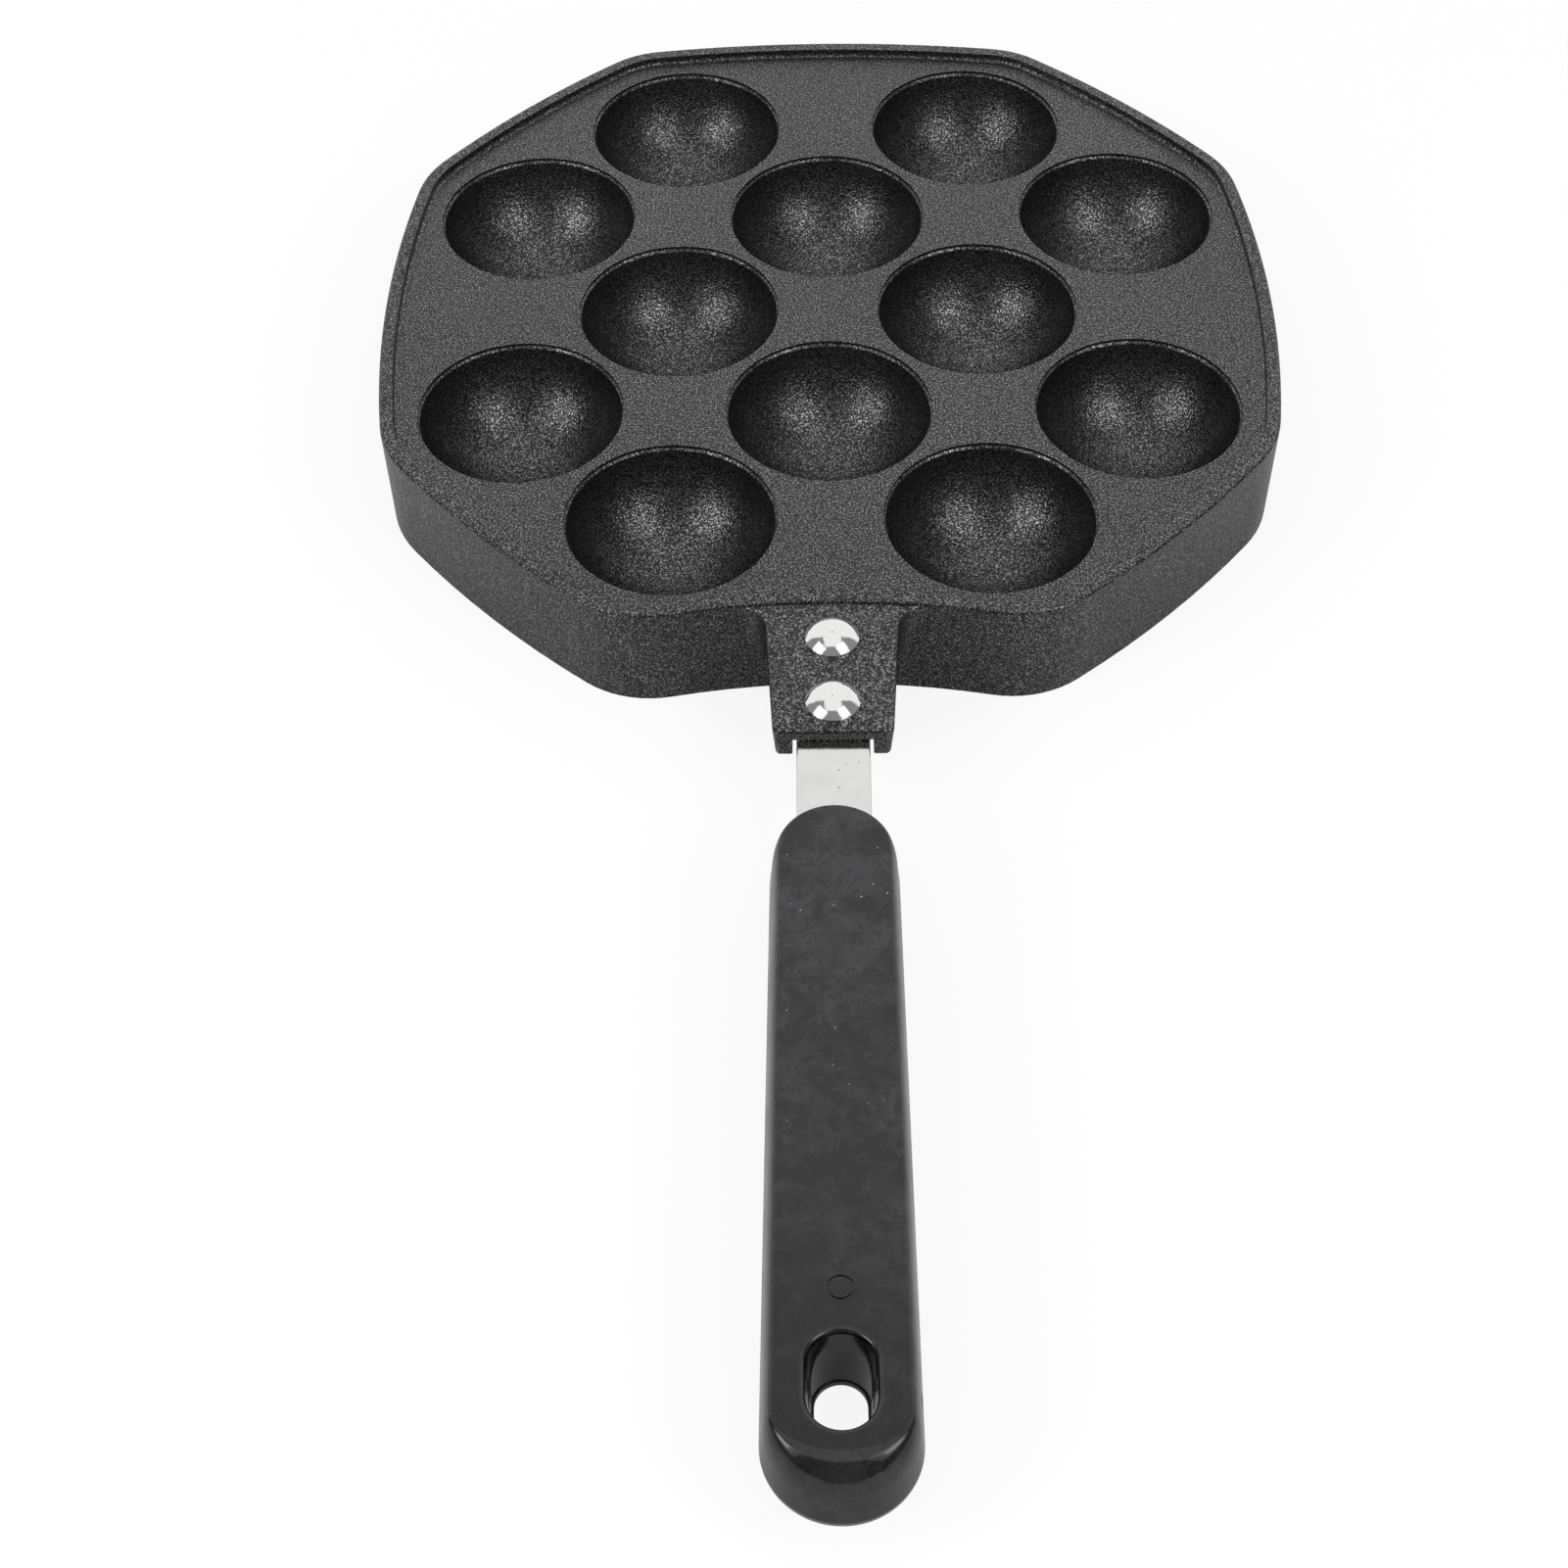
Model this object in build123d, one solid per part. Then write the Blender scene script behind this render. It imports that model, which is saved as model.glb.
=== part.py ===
"""Stove-top takoyaki pan: a cast plate with twelve cups, and a moulded grip on a riveted steel tang.

Millimetres, +Z up.  The ring under the pan's skirt stands on Z = 0, +Y runs from the grip to the
pan, and the origin is the middle of the overall length, on the surface that the pan stands on.
"""
from build123d import *
from math import asin, cos, pi, sin, sqrt
import os

# ---- pan casting: heights above the surface that it stands on
OVERALL_LENGTH = 344.4
PLATE_Z = 21.0
PLATE_THICKNESS = 3.0
RIM_HEIGHT = 1.5
SKIRT_THICKNESS = 3.0
SKIRT_DRAFT = 0.4

# ---- pan outline: an octagon with bowed sides and a hollow front side, where the handle joins
SIDE_REACH = 88.6
BACK_REACH = 88.6
DIAGONAL_REACH = 92.1
FRONT_REACH = 82.8
SIDE_BOW_RADIUS = 242.0
SIDE_BOW_Y = -2.6
BACK_BOW_RADIUS = 268.0
DIAGONAL_BOW_RADIUS = 211.0
FRONT_HOLLOW_RADIUS = 146.0
CORNER_RADII = {"front": 20.0, "side front": 24.0, "side back": 22.0, "back": 19.0}
RIM_WIDTH = 2.5
RIM_WALL_SLOPE = 0.4
RIM_EDGE_RADIUS = 0.6
RIM_FOOT_RADIUS = 0.7
CEILING_RADIUS = 1.5

# ---- cups: a short straight step at the plate, a narrow bevel, then a shallow hemisphere
CUP_RADIUS = 20.0
CUP_DEPTH = 18.0
CUP_WALL = 2.5
CUP_STEP = 0.6
CUP_BEVEL = 0.4
CUP_PITCH = 29.85
CUP_ROWS = {2: (-1, 1), 1: (-2, 0, 2), 0: (-1, 1), -1: (-2, 0, 2), -2: (-1, 1)}

# ---- bracket: a channel open underneath, cast in one with the pan
BRACKET_TOP_Z = 21.9
BRACKET_ROOF = 2.5
BRACKET_REACH = 113.7
BRACKET_ROOT_HALF_WIDTH = 12.4
BRACKET_END_HALF_WIDTH = 10.6
BRACKET_FLARE_RADIUS = 5.0
BRACKET_DRAFT_ANGLE = 5.0
BRACKET_SINK = 0.05
BRACKET_END_HEIGHT = 6.7
BRACKET_ROOT_HEIGHT = 12.5
BRACKET_EDGE_RADIUS = 0.6
BRACKET_CORNER_RADIUS = 1.5
BRACKET_LEG_RADIUS = 1.0
BRACKET_MOUTH_RADIUS = 0.4
BRACKET_PAD_WIDTH = 40.0
BRACKET_PAD_DEPTH = 5.0
CHANNEL_CLEARANCE = 0.7
CHANNEL_WALL_GAP = 1.2

# ---- tang: flat steel strip that carries the grip
TANG_WIDTH = 12.8
TANG_THICKNESS = 2.0
TANG_WALL_GAP = 0.6
TANG_END_REACH = 216.0
TANG_CORNER_RADIUS = 2.0
TANG_EDGE_RADIUS = 0.3
KEY_HOLE_DIAMETER = 6.0
KEY_HOLE_REACHES = (152.0, 196.0)

# ---- rivets: mushroom heads above, closed heads under the tang
RIVET_REACHES = {"rivet_pan_side": 91.6, "rivet_grip_side": 106.9}
RIVET_SHANK_DIAMETER = 5.0
RIVET_HEAD_DIAMETER = 9.7
RIVET_HEAD_LIP = 0.7
RIVET_DOME_HEIGHT = 2.3
RIVET_TAIL_DIAMETER = 7.6
RIVET_TAIL_HEIGHT = 1.5
RIVET_TAIL_EDGE = 0.4
RIVET_TAIL_CHAMFER = 0.8

# ---- grip: moulded around the tang, wider towards its free end; each inset is a pair,
# ---- for the sides and the far end, and for the free end, and a rounding starts at the height
# ---- on its quarter ellipse that TOP_ROUND_START gives (0 for an upright wall, 1 for the flat)
GRIP_FAR_REACH = 129.6
GRIP_FAR_RADIUS = 11.0
GRIP_NEAR_RADIUS = 12.05
GRIP_TOP_Z = 23.5
GRIP_THICKNESS = 14.0
GRIP_TOP_SHOULDER = 5.0
GRIP_UNDERSIDE_SHOULDER = 4.0
GRIP_TOP_INSETS = (2.1, 6.4)
GRIP_UNDERSIDE_INSETS = (3.0, 4.0)
TOP_ROUND_START = 0.4
SHOULDER_STEPS = 6

# ---- hanging hole through the grip, a funnel that ends in a short, slightly narrower land
HOLE_REACH = 238.4
HOLE_TOP_WIDTH = 10.6
HOLE_TOP_LENGTH = 15.4
HOLE_WALL_INSET = 1.05
HOLE_LAND_INSET = 1.3
HOLE_LAND = 1.0
HOLE_MOUTH_RADIUS = 0.9

# ---- cross hole for the pin of a hanging ring, from the right side, ending in the left cheek
CROSS_HOLE_DIAMETER = 1.7
CROSS_HOLE_Z = 16.8
CROSS_HOLE_END = 8.0
CROSS_HOLE_BEVEL = 0.4

# ---- ejector mark, a shallow ring in the top of the grip
MARK_REACH = 223.5
MARK_DIAMETER = 4.1
MARK_WIDTH = 0.3
MARK_DEPTH = 0.25

# ---- cutters run past the faces that they open by this much
OVERSHOOT = 1.0

# ---- how near a point lies to a face or a corner that it is on, and the sine of a sharp turn
NEAR = 0.001
SHARP_TURN = 0.02

# ---- worked out from the above
PAN_Y = OVERALL_LENGTH / 2 - BACK_REACH
RIM_Z = PLATE_Z + RIM_HEIGHT
BOWL_RADIUS = CUP_RADIUS - CUP_BEVEL
BOWL_DEPTH = CUP_DEPTH - CUP_STEP - CUP_BEVEL
CUP_SPHERE_RADIUS = (BOWL_RADIUS ** 2 + BOWL_DEPTH ** 2) / (2 * BOWL_DEPTH)
CUP_SPHERE_Z = PLATE_Z - CUP_DEPTH + CUP_SPHERE_RADIUS
TANG_TOP_Z = BRACKET_TOP_Z - BRACKET_ROOF
GRIP_NEAR_CENTRE_Y = -OVERALL_LENGTH / 2 + GRIP_NEAR_RADIUS
GRIP_BOTTOM_Z = GRIP_TOP_Z - GRIP_THICKNESS


def front_y(reach):
    """Y of a place that lies `reach` in front of the middle of the cups."""
    return PAN_Y - reach


def is_sharp(vertex, outline):
    """True where the two edges that meet at the vertex differ in direction."""
    tangents = []
    for edge in outline.edges():
        for end in (0, 1):
            if (edge @ end - vertex.center()).length < NEAR:
                tangents.append(edge % end)
    return tangents[0].cross(tangents[1]).length > SHARP_TURN


def pan_outline(inset=0.0):
    """Plan of the pan, drawn in by `inset`, as a face on Z = 0."""
    bows = [
        (0, SIDE_REACH, SIDE_BOW_RADIUS, SIDE_BOW_Y),
        (180, SIDE_REACH, SIDE_BOW_RADIUS, SIDE_BOW_Y),
        (90, BACK_REACH, BACK_BOW_RADIUS, 0),
    ]
    bows += [(angle, DIAGONAL_REACH, DIAGONAL_BOW_RADIUS, 0) for angle in (45, 135, 225, 315)]
    outline = None
    for angle, reach, radius, y in bows:
        disc = Pos(0, y) * Rot(0, 0, angle) * Pos(reach - radius, 0) * Circle(radius - inset)
        outline = disc if outline is None else outline & disc
    hollow = Pos(0, -FRONT_REACH - FRONT_HOLLOW_RADIUS) * Circle(FRONT_HOLLOW_RADIUS + inset)
    outline = outline - hollow
    for radius in CORNER_RADII.values():
        corners = [v for v in outline.vertices().sort_by(Axis.Y) if is_sharp(v, outline)]
        outline = fillet(corners[:2], radius - inset)
    return Pos(0, PAN_Y) * outline.face()


def outline_block(bottom_z, bottom_inset, top_z, top_inset):
    """Solid between two insets of the pan's outline."""
    bottom = Pos(0, 0, bottom_z) * pan_outline(bottom_inset)
    top = Pos(0, 0, top_z) * pan_outline(top_inset)
    return loft([bottom, top], ruled=True)


def edges_at(solid, z):
    """Edges that lie in the level plane at `z`."""
    return solid.edges().filter_by_position(Axis.Z, z - NEAR, z + NEAR)


def cup_centres():
    """Places of the cups on the turned lattice."""
    centres = []
    for row, columns in CUP_ROWS.items():
        for column in columns:
            centres.append((column * CUP_PITCH, PAN_Y + row * CUP_PITCH))
    return centres


def cup_hollow():
    """What one cup takes out of the casting: a profile turned about the cup's axis."""
    bowl_z = PLATE_Z - CUP_STEP - CUP_BEVEL
    bottom_z = PLATE_Z - CUP_DEPTH
    above_z = RIM_Z + OVERSHOOT
    middle = CUP_SPHERE_RADIUS * sin(pi / 4)
    middle_z = CUP_SPHERE_Z - CUP_SPHERE_RADIUS * cos(pi / 4)
    profile = Wire([
        ThreePointArc((0, 0, bottom_z), (middle, 0, middle_z), (BOWL_RADIUS, 0, bowl_z)).edge(),
        Line((BOWL_RADIUS, 0, bowl_z), (CUP_RADIUS, 0, bowl_z + CUP_BEVEL)).edge(),
        Line((CUP_RADIUS, 0, bowl_z + CUP_BEVEL), (CUP_RADIUS, 0, above_z)).edge(),
        Line((CUP_RADIUS, 0, above_z), (0, 0, above_z)).edge(),
        Line((0, 0, above_z), (0, 0, bottom_z)).edge(),
    ])
    return revolve(make_face(profile), Axis.Z)


def bracket_plan():
    """Plan of the bracket: a tapering tongue whose roots flare into the hollow front of the pan."""
    wall_y = front_y(FRONT_REACH)
    hollow_radius = FRONT_HOLLOW_RADIUS + BRACKET_SINK
    root = Pos(0, wall_y - OVERSHOOT) * Rectangle(BRACKET_PAD_WIDTH, BRACKET_PAD_DEPTH)
    root = root - Pos(0, wall_y - FRONT_HOLLOW_RADIUS) * Circle(hollow_radius)
    root_y = wall_y + OVERSHOOT
    end_y = front_y(BRACKET_REACH)
    tongue = make_face(Polyline(
        (-BRACKET_ROOT_HALF_WIDTH, root_y),
        (BRACKET_ROOT_HALF_WIDTH, root_y),
        (BRACKET_END_HALF_WIDTH, end_y),
        (-BRACKET_END_HALF_WIDTH, end_y),
        close=True,
    ))
    tongue = fillet(tongue.vertices().sort_by(Axis.Y)[:2], BRACKET_CORNER_RADIUS)
    plan = root + tongue
    inner_corners = [
        v for v in plan.vertices()
        if abs(v.X) < BRACKET_ROOT_HALF_WIDTH and abs(v.Y - wall_y) < OVERSHOOT
    ]
    return fillet(inner_corners, BRACKET_FLARE_RADIUS)


def leg_bottom_z(y):
    """Height of the undersides of the bracket's legs, which slope down towards the pan."""
    root_y = front_y(FRONT_REACH)
    end_y = front_y(BRACKET_REACH)
    slope = (BRACKET_ROOT_HEIGHT - BRACKET_END_HEIGHT) / (root_y - end_y)
    return BRACKET_TOP_Z - BRACKET_END_HEIGHT - slope * (y - end_y)


def bracket_block():
    """Bracket before its channel is cut, deeper at the pan than at its free end."""
    plan = Pos(0, 0, BRACKET_TOP_Z) * bracket_plan()
    block = extrude(plan, -BRACKET_ROOT_HEIGHT, taper=BRACKET_DRAFT_ANGLE)
    block = fillet(edges_at(block, BRACKET_TOP_Z), BRACKET_EDGE_RADIUS)
    root_y = front_y(FRONT_REACH)
    past_end_y = front_y(BRACKET_REACH) - OVERSHOOT
    under_legs = make_face(Plane.YZ * Polyline(
        (past_end_y, leg_bottom_z(past_end_y)),
        (root_y, leg_bottom_z(root_y)),
        (past_end_y, leg_bottom_z(root_y)),
        close=True,
    ))
    return block - extrude(under_legs, BRACKET_PAD_WIDTH, both=True)


def bracket_channel():
    """Space under the bracket's roof that takes the tang and the rivets' closed heads."""
    width = TANG_WIDTH + 2 * CHANNEL_CLEARANCE
    back_y = front_y(FRONT_REACH + CHANNEL_WALL_GAP)
    front_end_y = front_y(BRACKET_REACH) - OVERSHOOT
    length = back_y - front_end_y
    place = Pos(0, (back_y + front_end_y) / 2, TANG_TOP_Z - BRACKET_ROOT_HEIGHT / 2)
    return place * Box(width, length, BRACKET_ROOT_HEIGHT)


def rivet_hole(reach):
    """Through hole for a rivet's shank."""
    return Pos(0, front_y(reach), TANG_TOP_Z) * Cylinder(RIVET_SHANK_DIAMETER / 2, PLATE_Z)


def bracket_leg_edges(body):
    """Edges along and in front of the undersides of the bracket's legs."""
    found = []
    for edge in body.edges():
        ends = [edge @ 0, edge @ 1]
        under_legs = all(abs(p.Z - leg_bottom_z(p.Y)) < NEAR for p in ends)
        in_bracket = all(abs(p.X) < BRACKET_ROOT_HALF_WIDTH for p in ends)
        on_one_leg = ends[0].X * ends[1].X > 0
        if under_legs and in_bracket and on_one_leg:
            found.append(edge)
    return found


def bracket_mouth_edges(body):
    """Lower edge of the bracket's roof at its free end, above the tang."""
    end_y = front_y(BRACKET_REACH)
    return [e for e in edges_at(body, TANG_TOP_Z) if abs(e.center().Y - end_y) < OVERSHOOT]


def pan_casting():
    """Plate, rim, skirt, cups and handle bracket in one aluminium casting."""
    body = outline_block(0, SKIRT_DRAFT, RIM_Z, 0)
    body = fillet(edges_at(body, RIM_Z), RIM_EDGE_RADIUS)
    body += bracket_block()
    tray = outline_block(PLATE_Z, RIM_WIDTH + RIM_WALL_SLOPE, RIM_Z + OVERSHOOT, RIM_WIDTH)
    body -= fillet(edges_at(tray, PLATE_Z), RIM_FOOT_RADIUS)
    ceiling_z = PLATE_Z - PLATE_THICKNESS
    hollow = outline_block(-OVERSHOOT, SKIRT_THICKNESS, ceiling_z, SKIRT_THICKNESS + SKIRT_DRAFT)
    body -= fillet(edges_at(hollow, ceiling_z), CEILING_RADIUS)
    below_plate = Pos(0, PAN_Y, PLATE_Z / 2 - OVERSHOOT) * Box(2 * SIDE_REACH, 2 * BACK_REACH, PLATE_Z)
    cup_shell = Sphere(CUP_SPHERE_RADIUS + CUP_WALL)
    hollow_cup = cup_hollow()
    for x, y in cup_centres():
        body += (Pos(x, y, CUP_SPHERE_Z) * cup_shell) & below_plate
    for x, y in cup_centres():
        body -= Pos(x, y) * hollow_cup
    body -= bracket_channel()
    body = fillet(bracket_leg_edges(body), BRACKET_LEG_RADIUS)
    body = fillet(bracket_mouth_edges(body), BRACKET_MOUTH_RADIUS)
    for reach in RIVET_REACHES.values():
        body -= rivet_hole(reach)
    return body


def handle_tang():
    """Steel strip from the bracket's channel into the grip, with rivet and keying holes."""
    back_y = front_y(FRONT_REACH + CHANNEL_WALL_GAP + TANG_WALL_GAP)
    end_y = front_y(TANG_END_REACH)
    place = Pos(0, (back_y + end_y) / 2, TANG_TOP_Z - TANG_THICKNESS / 2)
    strip = place * Box(TANG_WIDTH, back_y - end_y, TANG_THICKNESS)
    strip = fillet(strip.edges().filter_by(Axis.Z), TANG_CORNER_RADIUS)
    strip = fillet(edges_at(strip, TANG_TOP_Z), TANG_EDGE_RADIUS)
    for reach in RIVET_REACHES.values():
        strip -= rivet_hole(reach)
    for reach in KEY_HOLE_REACHES:
        strip -= Pos(0, front_y(reach), TANG_TOP_Z) * Cylinder(KEY_HOLE_DIAMETER / 2, PLATE_Z)
    return strip


def rivet(reach):
    """Mushroom-head rivet, closed under the tang: a profile turned about its own axis."""
    shank = RIVET_SHANK_DIAMETER / 2
    head = RIVET_HEAD_DIAMETER / 2
    tail = RIVET_TAIL_DIAMETER / 2
    seat_z = BRACKET_TOP_Z
    lip_z = seat_z + RIVET_HEAD_LIP
    crown_z = lip_z + RIVET_DOME_HEIGHT
    dome_radius = (head ** 2 + RIVET_DOME_HEIGHT ** 2) / (2 * RIVET_DOME_HEIGHT)
    middle = head / 2
    middle_z = crown_z - dome_radius + sqrt(dome_radius ** 2 - middle ** 2)
    closed_z = TANG_TOP_Z - TANG_THICKNESS
    tail_z = closed_z - RIVET_TAIL_HEIGHT
    tail_edge_z = closed_z - RIVET_TAIL_EDGE
    tail_face = tail - RIVET_TAIL_CHAMFER
    profile = Wire([
        Line((0, 0, tail_z), (tail_face, 0, tail_z)).edge(),
        Line((tail_face, 0, tail_z), (tail, 0, tail_edge_z)).edge(),
        Line((tail, 0, tail_edge_z), (tail, 0, closed_z)).edge(),
        Line((tail, 0, closed_z), (shank, 0, closed_z)).edge(),
        Line((shank, 0, closed_z), (shank, 0, seat_z)).edge(),
        Line((shank, 0, seat_z), (head, 0, seat_z)).edge(),
        Line((head, 0, seat_z), (head, 0, lip_z)).edge(),
        ThreePointArc((head, 0, lip_z), (middle, 0, middle_z), (0, 0, crown_z)).edge(),
        Line((0, 0, crown_z), (0, 0, tail_z)).edge(),
    ])
    return Pos(0, front_y(reach)) * revolve(make_face(profile), Axis.Z)


def grip_section(z, inset, end_inset):
    """Level outline of the grip: round at the tang, half an ellipse at the free end."""
    far = GRIP_FAR_RADIUS - inset
    near = GRIP_NEAR_RADIUS - inset
    depth = GRIP_NEAR_RADIUS - end_inset
    far_y = front_y(GRIP_FAR_REACH) - GRIP_FAR_RADIUS
    near_y = GRIP_NEAR_CENTRE_Y
    wire = Wire([
        ThreePointArc((far, far_y), (0, far_y + far), (-far, far_y)).edge(),
        Line((-far, far_y), (-near, near_y)).edge(),
        EllipticalCenterArc((0, near_y), near, depth, start_angle=180, arc_size=180).edge(),
        Line((near, near_y), (far, far_y)).edge(),
    ])
    return Pos(0, 0, z) * make_face(wire)


def wall_top_insets():
    """Insets at the top of the grip's drafted wall, so that the rounding runs on from its slope."""
    wall_height = GRIP_THICKNESS - GRIP_TOP_SHOULDER - GRIP_UNDERSIDE_SHOULDER
    slope = TOP_ROUND_START / (1 + TOP_ROUND_START) * wall_height / GRIP_TOP_SHOULDER
    return [inset * slope / (1 + slope) for inset in GRIP_TOP_INSETS]


def grip_shoulder(level_z, flat_z, level_insets, flat_insets, start=0.0):
    """Rounded shoulder between the wall of the grip and the flat above or below it."""
    start_turn = asin(start)
    sections = []
    for step in range(SHOULDER_STEPS + 1):
        turn = start_turn + step / SHOULDER_STEPS * (pi / 2 - start_turn)
        z = level_z + (flat_z - level_z) * (sin(turn) - start) / (1 - start)
        drawn_in = 1 - cos(turn) / cos(start_turn)
        insets = [a + (b - a) * drawn_in for a, b in zip(level_insets, flat_insets)]
        sections.append(grip_section(z, *insets))
    return loft(sections)


def hole_section(z, inset):
    """Level outline of the hanging hole, a slot with round ends."""
    slot = SlotOverall(HOLE_TOP_LENGTH - 2 * inset, HOLE_TOP_WIDTH - 2 * inset)
    return Pos(0, front_y(HOLE_REACH), z) * Rot(0, 0, 90) * slot


def hanging_hole():
    """Funnel through the grip, narrow side down, with a straight land at the bottom."""
    land_z = GRIP_BOTTOM_Z + HOLE_LAND
    funnel = loft([hole_section(land_z, HOLE_WALL_INSET), hole_section(GRIP_TOP_Z, 0)], ruled=True)
    land = extrude(hole_section(land_z, HOLE_LAND_INSET), -HOLE_LAND - OVERSHOOT)
    clearance = extrude(hole_section(GRIP_TOP_Z, 0), OVERSHOOT)
    return funnel + land + clearance


def hole_mouth_edges(grip):
    """Upper edges of the hanging hole."""
    middle = Vector(0, front_y(HOLE_REACH), GRIP_TOP_Z)
    reach = HOLE_TOP_LENGTH / 2 + NEAR
    return [e for e in edges_at(grip, GRIP_TOP_Z) if (e.center() - middle).length < reach]


def cross_hole():
    """Level hole across the hanging hole, bevelled where it opens, and closed on the left side."""
    radius = CROSS_HOLE_DIAMETER / 2
    y = front_y(HOLE_REACH)
    slope = HOLE_WALL_INSET / (GRIP_THICKNESS - HOLE_LAND)
    wall_x = HOLE_TOP_WIDTH / 2 - slope * (GRIP_TOP_Z - CROSS_HOLE_Z)
    side_x = GRIP_NEAR_RADIUS
    bevelled = radius + CROSS_HOLE_BEVEL
    profile = make_face(Plane.XY.offset(CROSS_HOLE_Z) * Polyline(
        (-CROSS_HOLE_END, y),
        (-CROSS_HOLE_END, y + radius),
        (-wall_x - CROSS_HOLE_BEVEL, y + radius),
        (-wall_x, y + bevelled),
        (wall_x, y + bevelled),
        (wall_x + CROSS_HOLE_BEVEL, y + radius),
        (side_x - 2 * CROSS_HOLE_BEVEL, y + radius),
        (side_x, y + radius + 2 * CROSS_HOLE_BEVEL),
        (side_x, y),
        close=True,
    ))
    return revolve(profile, Axis((0, y, CROSS_HOLE_Z), (1, 0, 0)))


def ejector_mark():
    """Shallow ring that the mould leaves in the top of the grip."""
    radius = MARK_DIAMETER / 2
    ring = Cylinder(radius, 2 * MARK_DEPTH) - Cylinder(radius - MARK_WIDTH, 2 * MARK_DEPTH)
    return Pos(0, front_y(MARK_REACH), GRIP_TOP_Z) * ring


def handle_grip(tang):
    """Phenolic grip, moulded around the tang and through its keying holes."""
    shoulder_z = GRIP_TOP_Z - GRIP_TOP_SHOULDER
    parting_z = GRIP_BOTTOM_Z + GRIP_UNDERSIDE_SHOULDER
    parting_line = grip_section(parting_z, 0, 0)
    wall_top = wall_top_insets()
    grip = loft([parting_line, grip_section(shoulder_z, *wall_top)], ruled=True)
    grip += grip_shoulder(shoulder_z, GRIP_TOP_Z, wall_top, GRIP_TOP_INSETS, TOP_ROUND_START)
    grip += grip_shoulder(parting_z, GRIP_BOTTOM_Z, (0, 0), GRIP_UNDERSIDE_INSETS)
    grip -= hanging_hole()
    grip = fillet(hole_mouth_edges(grip), HOLE_MOUTH_RADIUS)
    grip -= cross_hole()
    grip -= ejector_mark()
    return grip - tang


def main():
    """Build every piece and write one STEP file for each."""
    tang = handle_tang()
    pieces = {
        "pan_casting": pan_casting(),
        "handle_tang": tang,
        "handle_grip": handle_grip(tang),
    }
    for name, reach in RIVET_REACHES.items():
        pieces[name] = rivet(reach)
    os.makedirs("parts", exist_ok=True)
    for name, piece in pieces.items():
        export_step(piece, f"parts/{name}.step")


if __name__ == "__main__":
    main()
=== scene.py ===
from math import cos, pi, radians, sin

import bpy
from mathutils import Matrix, Vector

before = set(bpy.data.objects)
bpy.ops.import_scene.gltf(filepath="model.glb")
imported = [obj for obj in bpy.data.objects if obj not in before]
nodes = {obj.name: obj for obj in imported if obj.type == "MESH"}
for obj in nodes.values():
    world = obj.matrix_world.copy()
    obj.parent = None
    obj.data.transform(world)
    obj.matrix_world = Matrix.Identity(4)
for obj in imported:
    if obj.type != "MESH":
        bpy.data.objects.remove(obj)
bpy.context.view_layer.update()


# ---------------------------------------------------------------- node helpers

# A Mix node has an A, a B and a result for each type of value; these are the ones for colours.
MIX_COLOUR_A = 6
MIX_COLOUR_B = 7
MIX_COLOUR_RESULT = 2
# The part of a speck's radius that is at full strength.
SPECK_CORE = 0.6


def connect(tree, node, inputs):
    """Links a node's inputs to sockets, or sets them to plain values."""
    for key, value in inputs.items():
        if isinstance(value, bpy.types.NodeSocket):
            tree.links.new(value, node.inputs[key])
        else:
            node.inputs[key].default_value = value


def add(tree, kind, inputs=None, **settings):
    """Adds a node, sets its properties, and sets or links its inputs."""
    node = tree.nodes.new(kind)
    for key, value in settings.items():
        setattr(node, key, value)
    connect(tree, node, inputs or {})
    return node


def noise(tree, coords, scale, detail=2.0, roughness=0.5, distortion=0.0):
    """Fractal noise in object space; the scale is in features per metre."""
    return add(tree, "ShaderNodeTexNoise", {
        "Vector": coords, "Scale": scale, "Detail": detail,
        "Roughness": roughness, "Distortion": distortion,
    }).outputs["Fac"]


def spread(tree, value, low, high, to_low=0.0, to_high=1.0):
    """Maps low..high to to_low..to_high, held at both ends."""
    return add(tree, "ShaderNodeMapRange", {
        "Value": value, "From Min": low, "From Max": high, "To Min": to_low, "To Max": to_high,
    }).outputs["Result"]


def maths(tree, operation, a, b=0.0):
    """One arithmetic node."""
    return add(tree, "ShaderNodeMath", {0: a, 1: b}, operation=operation).outputs[0]


def blend_colour(tree, factor, a, b):
    """Mix of two colours, each a socket or its red, green and blue."""
    node = add(tree, "ShaderNodeMix", {"Factor": factor}, data_type="RGBA")
    for key, colour in ((MIX_COLOUR_A, a), (MIX_COLOUR_B, b)):
        is_socket = isinstance(colour, bpy.types.NodeSocket)
        connect(tree, node, {key: colour if is_socket else (*colour, 1.0)})
    return node.outputs[MIX_COLOUR_RESULT]


def object_coords(tree, stretch=(1.0, 1.0, 1.0)):
    """Object coordinates, in metres, stretched along the axes."""
    coords = add(tree, "ShaderNodeTexCoord").outputs["Object"]
    return add(tree, "ShaderNodeMapping", {"Vector": coords, "Scale": stretch}).outputs["Vector"]


def specks(tree, coords, scale, share, size):
    """Scattered round specks: the share of the cells that hold one, and its radius in cells."""
    cells = add(tree, "ShaderNodeTexVoronoi", {"Vector": coords, "Scale": scale}).outputs
    chance = add(tree, "ShaderNodeSeparateColor", {"Color": cells["Color"]}).outputs["Red"]
    picked = maths(tree, "GREATER_THAN", chance, 1.0 - share)
    near = spread(tree, cells["Distance"], size * SPECK_CORE, size, 1.0, 0.0)
    return maths(tree, "MULTIPLY", picked, near)


def bumps(tree, height, strength, depth):
    """Normals tilted by a height pattern; the depth is in metres."""
    return add(tree, "ShaderNodeBump", {
        "Height": height, "Strength": strength, "Distance": depth,
    }).outputs["Normal"]


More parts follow.
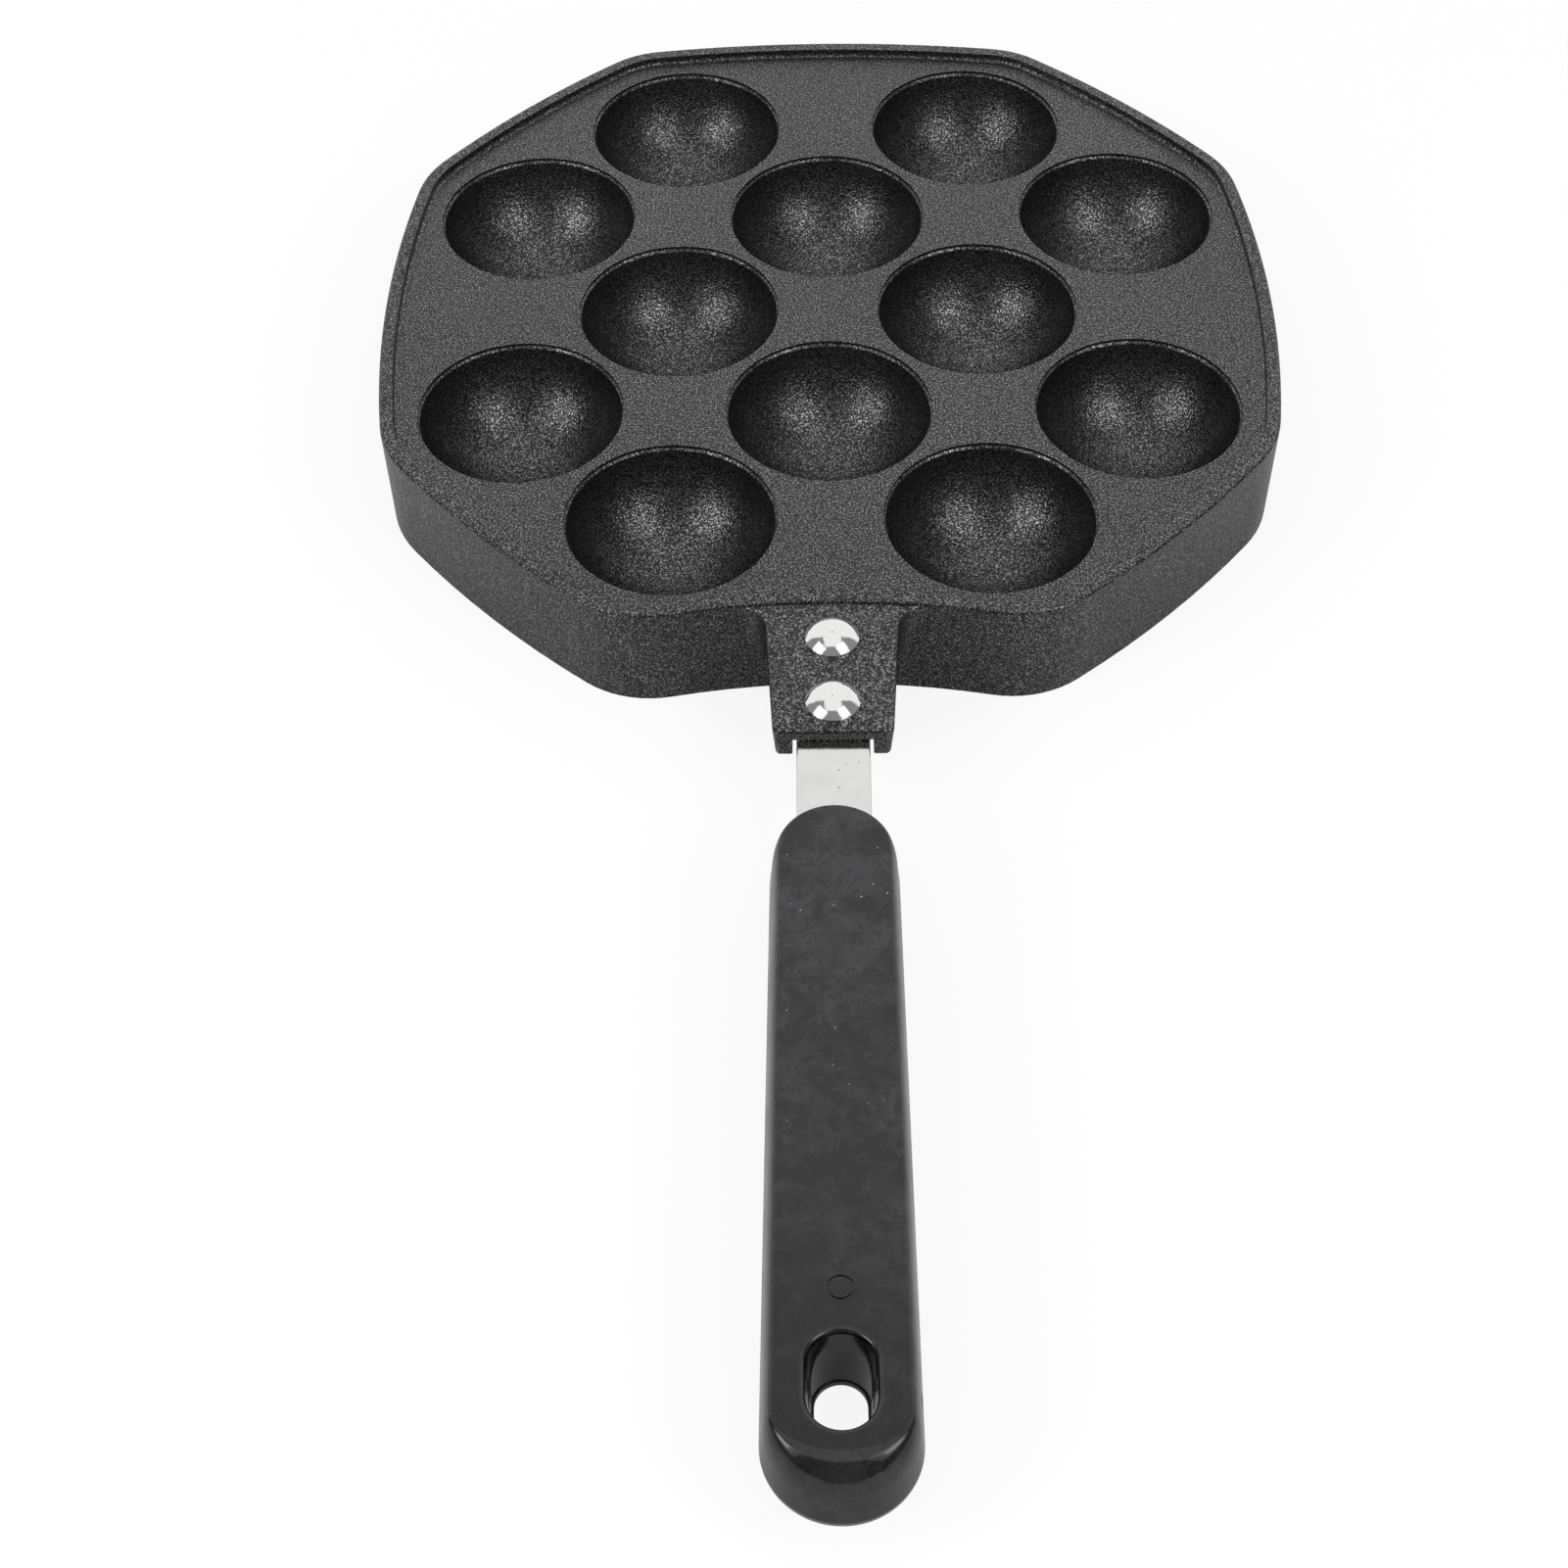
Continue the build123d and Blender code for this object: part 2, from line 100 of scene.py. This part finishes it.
def finished_material(name, build):
    """A material with one Principled shader, whose inputs the given function works out."""
    material = bpy.data.materials.new(name)
    material.use_nodes = True
    tree = material.node_tree
    connect(tree, tree.nodes["Principled BSDF"], build(tree))
    return material


# ---------------------------------------------------------------- materials
# Colours are linear red, green and blue. A pattern runs from 0 to 1, and a pair named FROM or
# WHERE gives the two values of it between which something sets in. Depths are in metres, and the
# heights of clumps and lines are shares of the main pattern's.

MOST_OF_NOISE = (0.3, 0.7)
METAL = 1.0

RESIN_COLOUR = (0.002, 0.002, 0.002)
FLAKE_COLOURS = ((0.30, 0.30, 0.30), (0.36, 0.36, 0.362))
FLAKES_BRIGHTEN_FROM = (0.47, 0.72)
FLAKES_ARE_METAL_FROM = (0.47, 0.545)
COATING_ROUGHNESS = (0.29, 0.21)
COATING_IOR = 1.39
CLUMP_HEIGHT = 0.5
COATING_BUMP_DEPTH = 0.00010

STEEL_COLOURS = ((0.70, 0.70, 0.685), (0.75, 0.75, 0.735))
STEEL_PIT_COLOUR = (0.26, 0.26, 0.25)
STEEL_SMEARS_FROM = (0.36, 0.64)
STEEL_ROUGHNESS = (0.07, 0.13)
STEEL_LINE_ROUGHNESS = (0.0, 0.05)
LINE_HEIGHT = 0.25
STEEL_BUMP_DEPTH = 0.00012

RIVET_COLOURS = ((0.84, 0.84, 0.835), (0.78, 0.78, 0.775))
RIVET_SCUFFS_DARKEN_FROM = (0.35, 0.75)
RIVET_SCUFFS_DULL_FROM = (0.4, 0.8)
RIVET_ROUGHNESS = (0.05, 0.14)
RIVET_BUMP_DEPTH = 0.0003

PHENOLIC_COLOUR = (0.001, 0.001, 0.001)
FILM_COLOUR = (0.036, 0.036, 0.041)
DUST_COLOUR = (0.60, 0.60, 0.60)
SMEARS_FROM = (0.42, 0.60)
SMEARS_SHINE_FROM = (0.40, 0.60)
RUBBED_OFF_WHERE = (0.53, 0.60)
FILM_LEFT_BY_RUBBING = 0.1
GRIP_ROUGHNESS = (0.18, 0.08)
DUST_ROUGHNESS = 0.4
GRIP_IOR = 1.55
GRIP_BUMP_DEPTH = 0.0004

# Places along the grip, in metres, between which the film and the dust grow towards the pan.
FILM_Y = (-0.165, -0.055)
FILM_THIN_AND_FULL = (0.50, 1.0)
DUST_Y = (-0.125, -0.065)


def coating(tree):
    """Near-black non-stick coating, full of fine grains that glitter like metal flakes."""
    coords = object_coords(tree)
    grain = noise(tree, coords, scale=2900.0, detail=1.0, roughness=0.6)
    clumps = noise(tree, coords, scale=1100.0, detail=2.0, roughness=0.5)
    clouds = noise(tree, coords, scale=22.0, detail=3.0, roughness=0.55)
    flakes = blend_colour(tree, spread(tree, clouds, *MOST_OF_NOISE), *FLAKE_COLOURS)
    bright = spread(tree, grain, *FLAKES_BRIGHTEN_FROM)
    height = maths(tree, "ADD", grain, maths(tree, "MULTIPLY", clumps, CLUMP_HEIGHT))
    return {
        "Base Color": blend_colour(tree, bright, RESIN_COLOUR, flakes),
        "Metallic": spread(tree, grain, *FLAKES_ARE_METAL_FROM),
        "Roughness": spread(tree, clumps, *MOST_OF_NOISE, *COATING_ROUGHNESS),
        "IOR": COATING_IOR,
        "Normal": bumps(tree, height, strength=1.0, depth=COATING_BUMP_DEPTH),
    }


def steel(tree):
    """Bright rolled steel strip, faintly brushed along its length, with small pits."""
    brushed = object_coords(tree, stretch=(1.0, 0.05, 1.0))
    plain = object_coords(tree)
    lines = noise(tree, brushed, scale=5200.0, detail=3.0, roughness=0.6)
    smears = noise(tree, plain, scale=190.0, detail=5.0, roughness=0.68, distortion=1.2)
    pits = specks(tree, plain, scale=900.0, share=0.30, size=0.20)
    metal = blend_colour(tree, spread(tree, smears, *STEEL_SMEARS_FROM), *STEEL_COLOURS)
    height = maths(tree, "ADD", maths(tree, "MULTIPLY", lines, LINE_HEIGHT), smears)
    return {
        "Base Color": blend_colour(tree, pits, metal, STEEL_PIT_COLOUR),
        "Metallic": METAL,
        "Roughness": maths(tree, "ADD", spread(tree, smears, *MOST_OF_NOISE, *STEEL_ROUGHNESS),
                           spread(tree, lines, *MOST_OF_NOISE, *STEEL_LINE_ROUGHNESS)),
        "Normal": bumps(tree, height, strength=0.09, depth=STEEL_BUMP_DEPTH),
    }


def rivet(tree):
    """Polished rivet with the faint ripples of the setting tool."""
    coords = object_coords(tree)
    ripples = noise(tree, coords, scale=420.0, detail=2.0, roughness=0.5)
    scuffs = noise(tree, coords, scale=1500.0, detail=3.0, roughness=0.6)
    scuffed = spread(tree, scuffs, *RIVET_SCUFFS_DARKEN_FROM)
    return {
        "Base Color": blend_colour(tree, scuffed, *RIVET_COLOURS),
        "Metallic": METAL,
        "Roughness": spread(tree, scuffs, *RIVET_SCUFFS_DULL_FROM, *RIVET_ROUGHNESS),
        "Normal": bumps(tree, ripples, strength=0.30, depth=RIVET_BUMP_DEPTH),
    }


def phenolic(tree):
    """Glossy black phenolic with faint flow marks, and a film of smears and dust towards the pan."""
    coords = object_coords(tree)
    wiped = object_coords(tree, stretch=(1.0, 0.6, 1.0))
    drawn = object_coords(tree, stretch=(1.0, 0.35, 1.0))
    smears = noise(tree, coords, scale=150.0, detail=8.0, roughness=0.76, distortion=0.6)
    rubbed = noise(tree, wiped, scale=620.0, detail=4.0, roughness=0.7, distortion=1.6)
    flow = noise(tree, drawn, scale=160.0, detail=2.0, roughness=0.5)
    along = add(tree, "ShaderNodeSeparateXYZ", {"Vector": coords}).outputs["Y"]
    dust = maths(tree, "MULTIPLY", specks(tree, coords, scale=420.0, share=0.45, size=0.07),
                 spread(tree, along, *DUST_Y))
    film = maths(tree, "MULTIPLY", spread(tree, smears, *SMEARS_FROM),
                 spread(tree, along, *FILM_Y, *FILM_THIN_AND_FULL))
    film = maths(tree, "MULTIPLY", film,
                 spread(tree, rubbed, *RUBBED_OFF_WHERE, 1.0, FILM_LEFT_BY_RUBBING))
    body = blend_colour(tree, film, PHENOLIC_COLOUR, FILM_COLOUR)
    return {
        "Base Color": blend_colour(tree, dust, body, DUST_COLOUR),
        "Roughness": maths(tree, "ADD", spread(tree, smears, *SMEARS_SHINE_FROM, *GRIP_ROUGHNESS),
                           maths(tree, "MULTIPLY", dust, DUST_ROUGHNESS)),
        "IOR": GRIP_IOR,
        "Normal": bumps(tree, flow, strength=0.10, depth=GRIP_BUMP_DEPTH),
    }


def dress(material, *node_names):
    """Gives CAD nodes their finished material."""
    for node_name in node_names:
        mesh = nodes[node_name].data
        mesh.materials.clear()
        mesh.materials.append(material)


dress(finished_material("pan_coating", coating), "pan_casting")
dress(finished_material("tang_steel", steel), "handle_tang")
dress(finished_material("grip_phenolic", phenolic), "handle_grip")
dress(finished_material("rivet_metal", rivet), "rivet_pan_side", "rivet_grip_side")


# ---------------------------------------------------------------- floor

FLOOR_HALF_SIZE = 6.0
FLOOR_WHITE = 0.80
FLOOR_WHITE_IN_REFLECTIONS = 0.90
FLOOR_WHITE_SEEN = 0.20
FLOOR_GLOW_SEEN = 0.85


def ray_kinds(tree):
    """Whether a ray comes straight from the camera, and whether it is a reflection."""
    path = add(tree, "ShaderNodeLightPath").outputs
    reflected = maths(tree, "MAXIMUM", path["Is Glossy Ray"], path["Is Transmission Ray"])
    return path["Is Camera Ray"], reflected


def floor_material():
    """Floor that the camera sees as background with a faint shadow, and other rays as plain white."""
    material = bpy.data.materials.new("floor")
    material.use_nodes = True
    tree = material.node_tree
    tree.nodes.remove(tree.nodes["Principled BSDF"])
    seen, reflected = ray_kinds(tree)
    surface = add(tree, "ShaderNodeBsdfDiffuse", {"Color": (*[FLOOR_WHITE] * 3, 1.0)}).outputs[0]
    for chosen, white, glow in ((reflected, FLOOR_WHITE_IN_REFLECTIONS, 0.0),
                                (seen, FLOOR_WHITE_SEEN, FLOOR_GLOW_SEEN)):
        lit = add(tree, "ShaderNodeAddShader", {
            0: add(tree, "ShaderNodeBsdfDiffuse", {"Color": (*[white] * 3, 1.0)}).outputs[0],
            1: add(tree, "ShaderNodeEmission", {"Strength": glow}).outputs[0],
        }).outputs[0]
        surface = add(tree, "ShaderNodeMixShader", {0: chosen, 1: surface, 2: lit}).outputs[0]
    connect(tree, tree.nodes["Material Output"], {"Surface": surface})
    return material


def add_floor():
    """Flat floor under the pan's skirt."""
    mesh = bpy.data.meshes.new("floor")
    corners = [(-1, -1), (1, -1), (1, 1), (-1, 1)]
    mesh.from_pydata([(FLOOR_HALF_SIZE * x, FLOOR_HALF_SIZE * y, 0.0) for x, y in corners],
                     [], [(0, 1, 2, 3)])
    floor = bpy.data.objects.new("floor", mesh)
    bpy.context.scene.collection.objects.link(floor)
    mesh.materials.append(floor_material())


add_floor()


# ---------------------------------------------------------------- room and soft boxes

# The room is laid out by direction from the pan: X across, Y away from the camera, Z up.
ROOM_LIGHT = 0.50
FRONT_LIGHT = 0.27
SWEEP_SPREAD = 0.40
CEILING_WIDTH = 0.50
CEILING_REACH = 0.50
WHITE_EDGE = (-0.06, 0.04)
# The ceiling's gap sets in and ends between these values of Y/Z, and fades out sideways between
# the two of its half width in X.
GAP_STARTS = (0.33, 0.39)
GAP_ENDS = (0.50, 0.62)
GAP_HALF_WIDTH = (0.035, 0.06)
GAP_DEPTH = 0.45

SOFT_BOX_TARGET = Vector((0.0, 0.0, 0.02))
# Name, azimuth from +Y towards +X, elevation, and the radiance of the core and of the wide edge.
SOFT_BOXES = (
    ("soft_box_right", 128.0, 44.0, 3.3, 0.8),
    ("soft_box_left", -120.0, 37.0, 4.2, 0.9),
)
CORE_DISTANCE = 1.20
CORE_SIDE = 0.40
EDGE_DISTANCE = 1.22
EDGE_SIDE = 0.78


def room_in_reflections(tree):
    """Strength by direction: dim in front, a white sweep behind, and a white ceiling with a darker gap."""
    generated = add(tree, "ShaderNodeTexCoord").outputs["Generated"]
    towards = add(tree, "ShaderNodeSeparateXYZ", {"Vector": generated}).outputs
    aside = maths(tree, "ABSOLUTE", towards["X"])
    behind = maths(tree, "SUBTRACT", towards["Y"], maths(tree, "MULTIPLY", aside, SWEEP_SPREAD))
    along = maths(tree, "ADD", towards["Y"], maths(tree, "MULTIPLY", towards["Z"], CEILING_REACH))
    across = maths(tree, "SUBTRACT", maths(tree, "MULTIPLY", towards["Z"], CEILING_WIDTH), aside)
    overhead = maths(tree, "MINIMUM", along, across)
    slope = maths(tree, "DIVIDE", towards["Y"], towards["Z"])
    gap = maths(tree, "MULTIPLY", spread(tree, slope, *GAP_STARTS),
                spread(tree, slope, *GAP_ENDS, 1.0, 0.0))
    gap = maths(tree, "MULTIPLY", gap, spread(tree, aside, *GAP_HALF_WIDTH, 1.0, 0.0))
    white = spread(tree, gap, 0.0, 1.0, 1.0 - FRONT_LIGHT, 1.0 - FRONT_LIGHT - GAP_DEPTH)
    lit = spread(tree, maths(tree, "MAXIMUM", behind, overhead), *WHITE_EDGE)
    return maths(tree, "ADD", maths(tree, "MULTIPLY", lit, white), FRONT_LIGHT)


def set_world():
    """Even room light; the camera sees white, and reflections see the room laid out above."""
    world = bpy.data.worlds.new("studio")
    bpy.context.scene.world = world
    world.use_nodes = True
    tree = world.node_tree
    seen, reflected = ray_kinds(tree)
    unreflected = maths(tree, "SUBTRACT", 1.0, reflected)
    strength = maths(tree, "ADD", maths(tree, "MULTIPLY", reflected, room_in_reflections(tree)),
                     maths(tree, "MULTIPLY", unreflected, ROOM_LIGHT))
    connect(tree, tree.nodes["Background"], {
        "Color": (1.0, 1.0, 1.0, 1.0),
        "Strength": maths(tree, "MAXIMUM", strength, seen),
    })


def add_panel(name, azimuth, elevation, distance, side, radiance):
    """Square soft panel that faces the pan."""
    level = cos(radians(elevation))
    towards = Vector((level * sin(radians(azimuth)), level * cos(radians(azimuth)),
                      sin(radians(elevation))))
    lamp = bpy.data.lights.new(name, "AREA")
    lamp.shape = "SQUARE"
    lamp.size = side
    lamp.energy = radiance * pi * side ** 2
    panel = bpy.data.objects.new(name, lamp)
    panel.location = SOFT_BOX_TARGET + towards * distance
    panel.rotation_euler = towards.to_track_quat("Z", "Y").to_euler()
    panel.visible_camera = False
    bpy.context.scene.collection.objects.link(panel)


set_world()
for name, azimuth, elevation, core_radiance, edge_radiance in SOFT_BOXES:
    add_panel(name + "_core", azimuth, elevation, CORE_DISTANCE, CORE_SIDE, core_radiance)
    add_panel(name + "_edge", azimuth, elevation, EDGE_DISTANCE, EDGE_SIDE, edge_radiance)


# ---------------------------------------------------------------- camera

# The photo's side and the focal length are in pixels, the sensor in millimetres, and the rest in
# metres and radians.
PHOTO_SIDE = 1601.0
FOCAL_PIXELS = 2781.9
SENSOR_WIDTH = 36.0
NEAREST_SEEN = 0.01
CAMERA_PLACE = Vector((-0.003494, -0.341762, 0.376032))
CAMERA_YAW = radians(-0.9594)
CAMERA_PITCH = radians(49.7339)
CAMERA_ROLL = radians(-1.0899)


def add_camera():
    """Camera at the photograph's viewing angle: yaw from +Y, pitch down, roll about the view."""
    level = cos(CAMERA_PITCH)
    forward = Vector((sin(CAMERA_YAW) * level, cos(CAMERA_YAW) * level, -sin(CAMERA_PITCH)))
    side = Vector((cos(CAMERA_YAW), -sin(CAMERA_YAW), 0.0))
    above = side.cross(forward)
    right = side * cos(CAMERA_ROLL) + above * sin(CAMERA_ROLL)
    up = above * cos(CAMERA_ROLL) - side * sin(CAMERA_ROLL)
    turn = Matrix((right, up, -forward)).transposed().to_4x4()
    lens = bpy.data.cameras.new("camera")
    lens.sensor_width = SENSOR_WIDTH
    lens.lens = FOCAL_PIXELS / PHOTO_SIDE * lens.sensor_width
    lens.clip_start = NEAREST_SEEN
    camera = bpy.data.objects.new("camera", lens)
    camera.matrix_world = Matrix.Translation(CAMERA_PLACE) @ turn
    bpy.context.scene.collection.objects.link(camera)
    bpy.context.scene.camera = camera


add_camera()
bpy.context.scene.view_settings.view_transform = "Standard"
